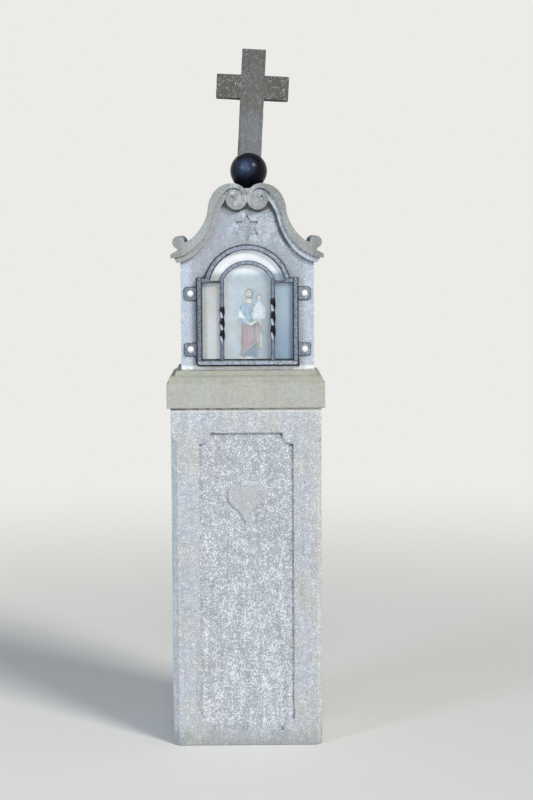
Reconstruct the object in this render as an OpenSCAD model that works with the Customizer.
// Wayside shrine of dressed stone: a panelled shaft, a moulded cap slab, a niche
// block with a curved volute gable, a ball and a cross, with a wrought iron
// window in front of the niche. The front faces -Y and the shrine stands on Z = 0.

/* [Shaft] */
// Width of the shaft across the front
shaft_w = 441; // [380:1:450]
// Depth of the shaft from front to back
shaft_d = 340; // [300:1:350]
// Height of the shaft
shaft_h = 1000; // [800:1:1200]
// Width that each upright arris bevel takes off the front
arris_w = 17; // [4:1:30]
// Distance from the shaft's top down to the tips of the arris bevels
arris_stop = 80; // [30:1:200]
// Width of the sunk panel
panel_w = 275; // [200:1:300]
// Margin between the shaft's top and the sunk panel
panel_top = 71; // [50:1:150]
// Margin between the ground and the sunk panel
panel_foot = 46; // [10:1:120]
// Depth of the sunk panel
panel_depth = 8; // [3:0.5:12]
// Radius of the scooped corners of the sunk panel
panel_scoop = 33; // [15:1:60]

/* [Heart] */
// Width of the carved heart
heart_w = 105; // [60:1:150]
// Height of the carved heart
heart_h = 117; // [60:1:160]
// Distance from the shaft's top down to the heart's lobes
heart_drop = 227; // [150:1:400]
// Distance that the heart sits right of the middle of the shaft
heart_shift = -4; // [-20:1:20]
// Height of the heart above the floor of the panel
heart_relief = 5; // [1:0.5:6]

/* [Mortar] */
// Thickness of the bed under the cap slab
lower_bed_t = 3; // [2:0.5:10]
// Thickness of the bed under the niche block
upper_bed_t = 2; // [1:0.5:10]
// Distance that the mortar lies back from the face of the stone
bed_inset = 2; // [1:0.5:20]

/* [Cap slab] */
// Width of the cap slab
cap_w = 463; // [455:1:520]
// Depth of the cap slab
cap_d = 362; // [350:1:420]
// Height of the plain face of the cap slab
fascia_h = 75; // [40:1:110]
// Width of the step above the plain face
cap_step = 5.5; // [2:0.5:8]
// Height of the small upright above the step
cap_upright = 5; // [2:0.5:12]
// Width of the roll of the cap moulding
cap_roll_w = 16; // [8:0.5:18]
// Height of the roll of the cap moulding
cap_roll_h = 15; // [8:0.5:20]
// Width of the steep member above the roll
cap_member_w = 6.5; // [3:0.5:8]
// Height of the steep member above the roll
cap_member_h = 14; // [8:0.5:20]

/* [Niche block] */
// Width of the niche block
block_w = 389; // [380:1:396]
// Depth of the niche block
block_d = 290; // [270:1:300]
// Distance that the niche block is set to the right of the shaft
block_shift = 6; // [-7:1:7]
// Width of the niche
niche_w = 236; // [220:1:245]
// Depth of the niche
niche_d = 150; // [110:1:200]
// Height of the niche floor above the foot of the block
niche_floor = 24; // [22:1:40]
// Height of the springing of the niche arch above the foot of the block
niche_spring = 236; // [225:1:240]

/* [Gable] */
// Distance that the lower band stands out from the face
lower_band_out = 12; // [6:0.5:15]
// Distance that the upper band stands out beyond the lower band
upper_band_out = 8; // [4:0.5:10]
// Radius of the big volutes
volute_r = 31; // [28:0.5:34]
// Width of the upper band where it rolls over the volutes
rim_w = 14.5; // [11:0.5:18]
// Width of the upper band where it has gone round the volutes
rim_end_w = 10; // [6:0.5:12]
// Distance that the web between the volutes lies back from the upper band
web_back = 3; // [1:0.5:7]
// Radius of the small end scrolls
scroll_r = 18; // [12:0.5:20]
// Radius of the sunk star from its centre to its points
star_r = 38; // [20:1:38]
// Height of the star's centre above the foot of the block
star_up = 413; // [405:1:425]
// Depth of the sunk star
star_depth = 5; // [1:0.5:8]

/* [Ball and cross] */
// Radius of the ball
ball_r = 55; // [51:0.5:60]
// Distance that the ball sits right of the middle of the gable
ball_shift = 6; // [-10:0.5:10]
// Distance that the ball sinks between the volutes, below their tops
ball_sink = 16; // [15:0.5:24]
// Width of the upright and height of the arms of the cross
cross_bar = 71; // [50:1:76]
// Thickness of the cross from front to back
cross_t = 76; // [50:1:80]
// Thickness of the dark bed between the ball and the cross
cross_bed_t = 7.5; // [3:0.5:12]
// Height of the cross above the middle of the ball
cross_h = 356; // [300:1:460]
// Span of the arms of the cross
cross_span = 214; // [160:1:280]
// Distance from the top of the cross down to the arms
arm_drop = 76; // [50:1:110]
// Lean of the cross to the right, in degrees
cross_lean = 3; // [-4:0.1:4]

/* [Window] */
// Width of the iron frame
frame_w = 295; // [282:1:310]
// Height of the foot of the iron frame above the foot of the block
frame_up = 14; // [8:1:18]
// Height of the square part of the frame
frame_h = 254; // [246:1:258]
// Side of the square bar of the frame
bar = 14; // [10:0.5:16]
// Radius of the bend at the lower left corner of the frame
bend_r = 9; // [2:0.5:10]
// Side of the thinner bar of the uprights and the inner arch
thin_bar = 12; // [8:0.5:14]
// Distance between the outer faces of the two uprights
upright_span = 160; // [130:1:190]
// Width of the outer arch over its feet
outer_arch_w = 246; // [240:1:256]
// Rise of the outer arch above the square part of the frame
outer_arch_rise = 96; // [88:1:98]
// Rise of the inner arch above the square part of the frame
inner_arch_rise = 51; // [35:1:60]
// Height of the thin tongue that joins each rail to its upright
tongue_h = 6.5; // [4:0.5:10]
// Length of the twisted stretch of the left upright
left_twist_len = 105; // [60:1:130]
// Length of the twisted stretch of the right upright
right_twist_len = 122; // [60:1:130]
// Twist of each upright, in quarter turns
twist_quarters = 3; // [1:1:8]
// Height of the middle of the left twist above the foot of the frame
left_twist_up = 121; // [100:1:150]
// Height of the middle of the right twist above the foot of the frame
right_twist_up = 137; // [100:1:150]
// Thickness of the glass
glass_t = 4; // [3:0.5:6]
// Distance that the glass lies inside the outline of the frame
glass_inset = 5; // [2:0.5:8]

/* [Lugs] */
// Width of each lug
lug_w = 38; // [30:1:42]
// Height of each lug
lug_h = 38; // [30:1:50]
// Thickness of each lug
lug_t = 6; // [5:0.5:8]
// Radius of the outer corners of each lug
lug_r = 8; // [2:0.5:12]
// Height of the lower lugs' centres above the foot of the frame
lower_lug_up = 46; // [40:1:80]
// Height of the upper lugs' centres above the foot of the frame
upper_lug_up = 209; // [150:1:220]
// Diameter of the domed bolt heads
head_d = 20; // [16:0.5:24]
// Height of the domed bolt heads
head_h = 8; // [5:0.5:10]
// Diameter of the bolts
bolt_d = 10; // [6:0.5:12]
// Depth of the bolts in the stone
bolt_depth = 50; // [20:1:70]
// Clearance round the bolts
bolt_gap = 0.3; // [0.2:0.1:1]

/* [Statuette] */
// Height of the statuette
statue_h = 211; // [170:1:216]
// Distance that the statuette stands right of the middle of the niche
statue_shift = 5; // [-15:1:15]
// Distance from the mouth of the niche back to the middle of the statuette
statue_back = 80; // [55:1:100]

/* [Hidden] */

// Clearance left between curved seats
seat_gap = 0.3;
// Number of straight pieces along each curve of an outline
steps = 12;
// Length by which a cut runs past the stone that it cuts
over = 1;

cap_h = fascia_h + cap_upright + cap_roll_h + cap_member_h;
cap_z = shaft_h + lower_bed_t;
block_z = cap_z + cap_h + upper_bed_t;
block_front = -block_d / 2;

// The gable outline, right half: X out from the middle, Y up from the block's foot
tip_x = 223;
tip_low = 326;
tip_high = 338;
lip_x = 212;
lip_end = [205, 312];
neck = [202, 349.5];
crest_up = 543;
volute_up = 496;
web_up = 528;
web_w = 20;
scroll_x = 199.5;
scroll_up = 372.5;
crest = [40, crest_up];

// Pulls and joins of the three lines of the gable moulding
outer_start = [scroll_x - scroll_r, scroll_up];
outer_pulls = [[146, 384], [117, 435]];
outer_waist = [114, 469];
outer_top_pulls = [[111, 505], [88, crest_up]];
groove_pulls = [[172, 323], [108, 387]];
groove_waist = [101.6, 447];
groove_top = crest_up - rim_w;
groove_top_pulls = [[98.5, 473], [66, groove_top]];
lower_pulls = [[150, 318], [100, 380]];
lower_waist = [87, 449];
lower_top_pulls = [[84, 464], [69, 486]];
lower_top = [57.5, volute_up + over];

// The volutes overlap by a hair in the middle
volute_x = volute_r - over / 2;
crest_r = norm([crest[0] - volute_x, crest_up - volute_up]);
crest_a = atan2(crest_up - volute_up, crest[0] - volute_x);

ball_x = block_shift + ball_shift;
ball_z = block_z + crest_up + ball_r - ball_sink;
hollow_r = ball_r + cross_bed_t;
cross_foot = sqrt(hollow_r ^ 2 - (cross_bar ^ 2 + cross_t ^ 2) / 4) + 2 * over;

frame_z = block_z + frame_up;
frame_top = frame_up + frame_h;
glass_y = block_front - glass_t;
// The twist's corners just clear the glass
upright_y = glass_y - thin_bar / sqrt(2) - seat_gap;
lug_x = frame_w / 2 + lug_w / 2;
stone_c = "silver";
iron_c = "dimgray";

function bezier(a, b, c, d, n = steps) = [
  for (i = [0 : n])
    let (t = i / n)
    a * (1 - t) ^ 3 + b * 3 * t * (1 - t) ^ 2 + c * 3 * t ^ 2 * (1 - t) + d * t ^ 3
];

function flipped(points) = [for (i = [len(points) - 1 : -1 : 0]) [-points[i][0], points[i][1]]];

// Radius of the circle through both feet and the crown of a low arch
function arch_radius(width, rise) = (width ^ 2 / 4 + rise ^ 2) / (2 * rise);

// Turns a flat outline upright, so that its Y becomes Z, and gives it depth from
// the front plane backwards
module upright(front, depth) {
  translate([0, front + depth, 0])
    rotate([90, 0, 0])
      linear_extrude(depth)
        children();
}

module both_sides() {
  children();
  mirror([1, 0, 0])
    children();
}

module four_corners() {
  both_sides() {
    children();
    mirror([0, 1, 0])
      children();
  }
}

// The stones

module arris_cut() {
  side = arris_w / sqrt(2);
  reach = 2 * arris_w;
  stop = shaft_h - arris_stop;
  translate([shaft_w / 2, -shaft_d / 2, 0])
    rotate([0, 0, -45])
      upright(-reach, 2 * reach)
        polygon([
          [-side, -over],
          [reach, -over],
          [reach, stop + reach * sqrt(2)],
          [-side, stop - arris_w]
        ]);
}

module panel_outline() {
  difference() {
    translate([-panel_w / 2, panel_foot])
      square([panel_w, shaft_h - panel_top - panel_foot]);
    for (x = [-1, 1], z = [panel_foot, shaft_h - panel_top])
      translate([x * panel_w / 2, z])
        circle(panel_scoop, $fn = 48);
  }
}

module heart_outline() {
  w = heart_w / 2;
  h = heart_h;
  half = concat(
    bezier([0, 0], [0.05 * w, 0.4 * h], [0.95 * w, 0.42 * h], [w, 0.76 * h]),
    bezier([w, 0.76 * h], [w, 0.94 * h], [0.75 * w, h], [0.5 * w, h]),
    bezier([0.5 * w, h], [0.27 * w, h], [0.11 * w, 0.96 * h], [0, 0.88 * h])
  );
  polygon(concat(half, flipped(half)));
}

module shaft() {
  color(stone_c) {
    difference() {
      translate([-shaft_w / 2, -shaft_d / 2, 0])
        cube([shaft_w, shaft_d, shaft_h]);
      four_corners()
        arris_cut();
      upright(-shaft_d / 2 - over, panel_depth + over)
        panel_outline();
    }
    translate([heart_shift, 0, shaft_h - heart_drop - heart_h])
      upright(-shaft_d / 2 + panel_depth - heart_relief, heart_relief + over)
        heart_outline();
  }
}

module bed(width, depth, thick) {
  translate([bed_inset - width / 2, bed_inset - depth / 2, 0])
    cube([width - 2 * bed_inset, depth - 2 * bed_inset, thick]);
}

module lower_bed() {
  color("tan")
    translate([0, 0, shaft_h])
      bed(shaft_w, shaft_d, lower_bed_t);
}

// Outline of the cap slab seen from one side: step, roll, steep member and ledge
module cap_outline(width) {
  w = width / 2 - cap_step;
  roll_z = fascia_h + cap_upright;
  member = [w - cap_roll_w, roll_z + cap_roll_h];
  half = concat(
    [[width / 2, 0], [width / 2, fascia_h], [w, fascia_h]],
    [for (a = [0 : 10 : 80]) [member[0] + cap_roll_w * cos(a), roll_z + cap_roll_h * sin(a)]],
    bezier(
      member,
      member - [0.7 * cap_member_w, 0],
      [member[0] - 0.3 * cap_member_w, cap_h],
      [member[0] - cap_member_w, cap_h],
      6
    )
  );
  polygon(concat(half, flipped(half)));
}

module cap_slab() {
  color(stone_c)
    translate([0, 0, cap_z])
      intersection() {
        upright(-cap_d / 2, cap_d)
          cap_outline(cap_w);
        rotate([0, 0, 90])
          upright(-cap_w / 2, cap_w)
            cap_outline(cap_d);
      }
}

module upper_bed() {
  color("tan")
    translate([block_shift, 0, cap_z + cap_h])
      bed(block_w, block_d, upper_bed_t);
}

// A line of the gable moulding, from its tip through its waist up to the crown
function s_line(start, pulls, waist, top_pulls, end) = concat(
  bezier(start, pulls[0], pulls[1], waist),
  [for (p = bezier(waist, top_pulls[0], top_pulls[1], end)) if (p != waist) p]
);

outer_line = s_line(outer_start, outer_pulls, outer_waist, outer_top_pulls, crest);
groove_line = s_line([tip_x, tip_low], groove_pulls, groove_waist, groove_top_pulls, [crest[0], groove_top]);
lower_line = s_line(lip_end, lower_pulls, lower_waist, lower_top_pulls, lower_top);

function backwards(points) = [for (i = [len(points) - 1 : -1 : 0]) points[i]];

// How far a line at angle a still is from the inner side of the volute: 1 at the crest, then 0
function rolled(a) = min(1, max(0, (180 - a) / (180 - crest_a)));

function rim_radius(a) = volute_r + (crest_r - volute_r) * rolled(a) ^ 1.4;

function on_volute(a, r) = [volute_x + r * cos(a), volute_up + r * sin(a)];

// The rim comes over the crest and winds down onto the round of the volute
module volute_outline() {
  rim = [
    for (i = [0 : steps])
      let (a = crest_a + (180 - crest_a) * i / steps)
      let (p = on_volute(a, rim_radius(a)))
      [max(0, p[0]), p[1]]
  ];
  translate([volute_x, volute_up])
    circle(volute_r, $fn = 64);
  polygon(concat([[crest[0], volute_up], [volute_x, volute_up - over]], backwards(rim)));
}

// The sunk strand of the volute, which winds in from the lower band
module strand_outline() {
  first = 10;
  last = 400;
  wind = 10;
  outer = [
    for (a = [first : wind : last])
      let (r = rim_radius(a) - rim_end_w - (rim_w - rim_end_w) * rolled(a))
      on_volute(a, r - max(0, a - 180) / 60)
  ];
  inner = [
    for (a = [last : -wind : first])
      on_volute(a, volute_r * 0.72 ^ (a / 90))
  ];
  polygon(concat(outer, inner));
}

module upper_band_outline() {
  both_sides() {
    difference() {
      union() {
        polygon(concat(
          [
            [tip_x, tip_low],
            [tip_x, tip_high],
            neck,
            [scroll_x + scroll_r * cos(70), scroll_up - scroll_r * sin(70)],
            [scroll_x, scroll_up]
          ],
          outer_line,
          backwards(groove_line)
        ));
        translate([scroll_x, scroll_up])
          circle(scroll_r, $fn = 48);
        volute_outline();
      }
      strand_outline();
    }
  }
}

module lower_band_outline() {
  both_sides() {
    polygon(concat(
      [[lip_x, tip_low], [lip_x, tip_low + 2 * over], neck],
      outer_line,
      [[crest[0], volute_up]],
      backwards(lower_line)
    ));
    volute_outline();
  }
}

// Fills the valley between the volutes, under the ball
module web_outline() {
  half = [[0, volute_up], [web_w / 2, volute_up + web_w / 2], [web_w / 2, web_up]];
  polygon(concat(half, flipped(half)));
}

module block_outline() {
  half = concat(
    [[block_w / 2, 0], [block_w / 2, tip_low]],
    [for (p = groove_line) if (p[0] < block_w / 2) p],
    [[0, crest_up - 2 * rim_w]]
  );
  polygon(concat(half, flipped(half)));
}

module niche_outline() {
  translate([-niche_w / 2, niche_floor])
    square([niche_w, niche_spring - niche_floor]);
  intersection() {
    translate([0, niche_spring])
      circle(niche_w / 2, $fn = 96);
    translate([-niche_w / 2, niche_spring - over])
      square([niche_w, niche_w]);
  }
}

module star_outline() {
  points = [
    for (i = [0 : 11])
      let (r = i % 2 == 0 ? star_r : star_r / sqrt(3))
      [r * sin(30 * i), star_up + r * cos(30 * i)]
  ];
  polygon(points);
}

module lug_places() {
  for (z = [lower_lug_up, upper_lug_up])
    both_sides()
      translate([lug_x, 0, frame_up + z])
        children();
}

module bolt_hole(front, depth) {
  translate([0, front, 0])
    rotate([-90, 0, 0])
      cylinder(h = depth, d = bolt_d + 2 * bolt_gap, $fn = 32);
}

module niche_block() {
  band_1 = lower_band_out;
  band_2 = lower_band_out + upper_band_out;
  color(stone_c)
    difference() {
      translate([block_shift, 0, block_z])
        difference() {
          union() {
            upright(block_front, block_d)
              block_outline();
            upright(block_front - band_1, block_d + 2 * band_1)
              lower_band_outline();
            upright(block_front - band_2, block_d + 2 * band_2)
              upper_band_outline();
            upright(block_front - band_2 + web_back, block_d + 2 * (band_2 - web_back))
              web_outline();
          }
          upright(block_front - over, niche_d + over)
            niche_outline();
          upright(block_front - over, star_depth + over)
            star_outline();
          lug_places()
            bolt_hole(block_front - over, bolt_depth + over + bolt_gap);
        }
      translate([ball_x, 0, ball_z])
        sphere(ball_r + seat_gap, $fn = 96);
    }
}

// The ball and the cross

module ball() {
  color("black")
    translate([ball_x, 0, ball_z])
      sphere(ball_r, $fn = 96);
}

module on_ball() {
  translate([ball_x, 0, ball_z])
    rotate([0, cross_lean, 0])
      children();
}

// A dark bed, hollow underneath over the ball and round on top under the cross
module cross_bed() {
  w = cross_bar - 2 * bed_inset;
  t = cross_t - 2 * bed_inset;
  color("dimgray")
    on_ball()
      difference() {
        intersection() {
          sphere(hollow_r - seat_gap, $fn = 96);
          translate([-w / 2, -t / 2, 0])
            cube([w, t, 2 * hollow_r]);
        }
        sphere(ball_r + seat_gap, $fn = 96);
      }
}

module cross() {
  color("gray")
    on_ball()
      difference() {
        union() {
          translate([-cross_bar / 2, -cross_t / 2, cross_foot])
            cube([cross_bar, cross_t, cross_h - cross_foot]);
          translate([-cross_span / 2, -cross_t / 2, cross_h - arm_drop - cross_bar])
            cube([cross_span, cross_t, cross_bar]);
        }
        sphere(hollow_r, $fn = 96);
      }
}

// The iron window

module on_block() {
  translate([block_shift, 0, block_z])
    children();
}

module frame_bar(x, z, width, height) {
  translate([x, glass_y - bar, frame_up + z])
    cube([width, bar, height]);
}

// The bottom bar, rounded where the bar is bent up into the left stile
module bottom_bar() {
  color(iron_c)
    on_block()
      upright(glass_y - bar, bar)
        translate([-frame_w / 2, frame_up])
          difference() {
            square([frame_w, bar]);
            difference() {
              translate([-over, -over])
                square(bend_r + over);
              translate([bend_r, bend_r])
                circle(bend_r, $fn = 32);
            }
          }
}

module left_stile() {
  color(iron_c)
    on_block()
      frame_bar(-frame_w / 2, bar, bar, frame_h - bar);
}

module right_stile() {
  color(iron_c)
    on_block()
      frame_bar(frame_w / 2 - bar, bar, bar, frame_h - bar);
}

// A rail, thick from the stile to the foot of the outer arch, then a thin tongue
module rail() {
  z = frame_h - bar;
  thick_w = frame_w / 2 - outer_arch_w / 2 + 1;
  frame_bar(bar - frame_w / 2, z, thick_w, bar);
  frame_bar(bar - frame_w / 2, z, frame_w / 2 - bar - upright_span / 2, tongue_h);
}

module left_rail() {
  color(iron_c)
    on_block()
      rail();
}

module right_rail() {
  color(iron_c)
    on_block()
      mirror([1, 0, 0])
        rail();
}

module arch(width, rise, thick, front) {
  r = arch_radius(width, rise);
  color(iron_c)
    on_block()
      upright(front, thick)
        intersection() {
          translate([0, frame_top + rise - r])
            difference() {
              circle(r, $fn = 128);
              circle(r - thick, $fn = 128);
            }
          translate([-width, frame_top])
            square([2 * width, 2 * rise]);
        }
}

module outer_arch() {
  arch(outer_arch_w, outer_arch_rise, bar, glass_y - bar);
}

module inner_arch() {
  arch(upright_span, inner_arch_rise, thin_bar, upright_y - thin_bar / 2);
}

// An upright with plain square ends and a twist in between
module twisted_bar(x, twist_up, twist_len) {
  low = bar;
  twist_low = twist_up - twist_len / 2;
  twist_high = twist_up + twist_len / 2;
  color(iron_c)
    on_block()
      translate([x, upright_y, frame_up]) {
        translate([-thin_bar / 2, -thin_bar / 2, low])
          cube([thin_bar, thin_bar, twist_low - low]);
        translate([0, 0, twist_low])
          linear_extrude(twist_len, twist = 90 * twist_quarters, slices = 9 * twist_quarters)
            square(thin_bar, center = true);
        translate([-thin_bar / 2, -thin_bar / 2, twist_high])
          cube([thin_bar, thin_bar, frame_h - twist_high]);
      }
}

module left_twisted_bar() {
  twisted_bar(thin_bar / 2 - upright_span / 2, left_twist_up, left_twist_len);
}

module right_twisted_bar() {
  twisted_bar(upright_span / 2 - thin_bar / 2, right_twist_up, right_twist_len);
}

module glass_pane() {
  r = arch_radius(outer_arch_w, outer_arch_rise) - glass_inset;
  top = frame_top - glass_inset;
  color("lightblue", 0.4)
    on_block()
      upright(glass_y, glass_t) {
        translate([glass_inset - frame_w / 2, frame_up + glass_inset])
          square([frame_w - 2 * glass_inset, frame_h - 2 * glass_inset]);
        intersection() {
          translate([0, frame_top + outer_arch_rise - r - glass_inset])
            circle(r, $fn = 128);
          translate([-r, top - over])
            square([2 * r, 2 * r]);
        }
      }
}

// The lugs and their bolts

module lug(side, z) {
  color(iron_c)
    on_block()
      translate([0, 0, frame_up + z])
        mirror([side < 0 ? 1 : 0, 0, 0])
          difference() {
            upright(block_front - lug_t, lug_t) {
              translate([frame_w / 2, -lug_h / 2])
                square([lug_w - lug_r, lug_h]);
              translate([frame_w / 2, lug_r - lug_h / 2])
                square([lug_w, lug_h - 2 * lug_r]);
              for (up = [-1, 1])
                translate([frame_w / 2 + lug_w - lug_r, up * (lug_h / 2 - lug_r)])
                  circle(lug_r, $fn = 32);
            }
            translate([lug_x, 0, 0])
              bolt_hole(block_front - lug_t - over, lug_t + 2 * over);
          }
}

module bolt(side, z) {
  dome_r = (head_d ^ 2 / 4 + head_h ^ 2) / (2 * head_h);
  head_y = block_front - lug_t;
  color("gainsboro")
    on_block()
      translate([side * lug_x, 0, frame_up + z]) {
        translate([0, head_y - over, 0])
          rotate([-90, 0, 0])
            cylinder(h = lug_t + bolt_depth + over, d = bolt_d, $fn = 32);
        intersection() {
          translate([0, head_y + dome_r - head_h, 0])
            sphere(dome_r, $fn = 64);
          translate([0, head_y, 0])
            rotate([90, 0, 0])
              cylinder(h = head_h + over, d = head_d + over, $fn = 48);
        }
      }
}

// The statuette

// A limb or fold: the hull of two balls, given in hundredths of the figure's height
module limb(from, to, from_r, to_r) {
  hull() {
    translate(from)
      sphere(from_r, $fn = 20);
    translate(to)
      sphere(to_r, $fn = 20);
  }
}

// A robe part: the hull of two flat ovals, each [x, y, z, half width, half depth]
module robe(low, high) {
  hull() {
    for (o = [low, high])
      translate([o[0], o[1], o[2]])
        scale([o[3], o[4], 1])
          cylinder(h = 0.5, r = 1, $fn = 24);
  }
}

// A standing figure with a child on its left arm, one hundred units high
module figure() {
  robe([-1.7, 0, 0, 15.2, 11], [-1.7, 0, 4.7, 14.4, 10.2]);
  robe([1, 0, 5, 12.4, 8.6], [1.5, 0, 30, 11.5, 8.2]);
  robe([1.5, 0, 30, 11.5, 8.2], [0, 0, 54, 11.4, 8]);
  robe([0, 0, 54, 11.4, 8], [-1.2, 0, 72, 10.8, 6.6]);
  robe([-1.2, 0, 72, 10.8, 6.6], [-0.4, -0.5, 80, 4.4, 4]);
  limb([15.4, -4, 18], [15.4, -6, 48], 3.8, 4.6);
  limb([-9, -1.5, 72], [-9.8, -5, 60], 4.4, 4.1);
  limb([-9.8, -5, 60], [2, -10.5, 51], 4.1, 3);
  limb([-0.2, -0.6, 79], [0, -0.8, 90], 3.1, 3.1);
  translate([0, -1, 94.7])
    sphere(5.3, $fn = 32);
  limb([14.2, -6.5, 64], [14, -6, 76], 6.2, 4.4);
  limb([13, -8.5, 62], [7.5, -11.5, 58], 4.4, 3);
  limb([13.9, -6, 76], [13.7, -6.5, 86], 2.6, 2.6);
  translate([13.7, -6.5, 87.4])
    sphere(4.2, $fn = 32);
}

module statuette() {
  color("wheat")
    on_block()
      translate([statue_shift, block_front + statue_back, niche_floor])
        scale(statue_h / 100)
          figure();
}

shaft();
lower_bed();
cap_slab();
upper_bed();
niche_block();
ball();
cross_bed();
cross();
glass_pane();
statuette();
bottom_bar();
left_stile();
right_stile();
left_rail();
right_rail();
outer_arch();
inner_arch();
left_twisted_bar();
right_twisted_bar();
lug(-1, upper_lug_up);  // upper_left_lug
lug(1, upper_lug_up);  // upper_right_lug
lug(-1, lower_lug_up);  // lower_left_lug
lug(1, lower_lug_up);  // lower_right_lug
bolt(-1, upper_lug_up);  // upper_left_bolt
bolt(1, upper_lug_up);  // upper_right_bolt
bolt(-1, lower_lug_up);  // lower_left_bolt
bolt(1, lower_lug_up);  // lower_right_bolt
